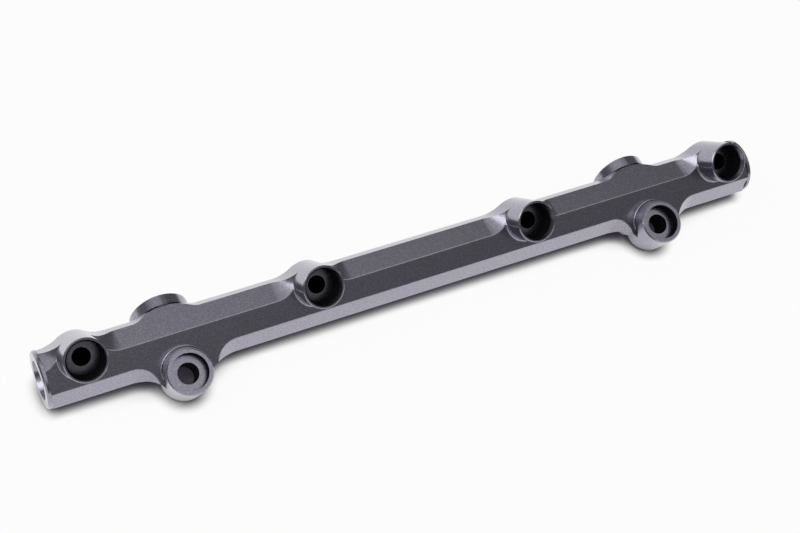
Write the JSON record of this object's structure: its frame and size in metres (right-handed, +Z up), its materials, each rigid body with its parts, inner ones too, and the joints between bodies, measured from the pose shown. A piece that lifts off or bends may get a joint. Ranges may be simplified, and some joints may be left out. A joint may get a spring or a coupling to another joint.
{
  "type": "fuel rail",
  "caption": "Machined eight-sided fuel rail with slanted injector cups, leaning counterbored mounting bosses, rear port bosses and an open threaded port at each end.",
  "frame": {"origin": "centre of the bounding box in X and Y, at the plane the rail rests on", "axes": "+X along the main bore towards the longer end, +Y out of the rear ports, +Z up from the resting plane; the cups point up and forward at 45 degrees"},
  "size_m": [0.3216, 0.0422, 0.0386],
  "materials": {
    "anodised": "bead-blasted black anodised"
  },
  "bodies": {
    "root": {"rail_body": "anodised"}
  },
  "joints": []
}
